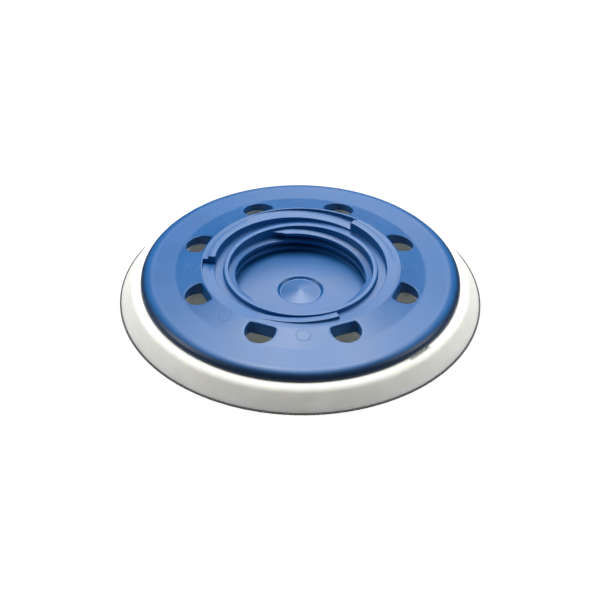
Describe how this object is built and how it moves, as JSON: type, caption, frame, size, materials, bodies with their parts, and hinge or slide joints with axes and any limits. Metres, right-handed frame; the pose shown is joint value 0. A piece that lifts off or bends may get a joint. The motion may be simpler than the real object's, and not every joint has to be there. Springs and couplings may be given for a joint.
{
  "type": "sanding pad",
  "caption": "Round backing pad of a random orbital sander: blue dished hub plate with dust holes, ramps and a threaded socket, on a white foam disc with a hook face.",
  "frame": {"origin": "centre of the hook face, at the tips of the hooks", "axes": "+Z is the pad's axis, from the hook face to the hub side; +X lies to the right in the front view, seen along +Y"},
  "size_m": [0.125, 0.125, 0.0157],
  "materials": {
    "hub_plastic": "satin",
    "foam": "matte",
    "hook_sheet": "matte"
  },
  "bodies": {
    "root": {"hub_plate": "hub_plastic", "foam_body": "foam", "hook_layer": "hook_sheet"}
  },
  "joints": []
}
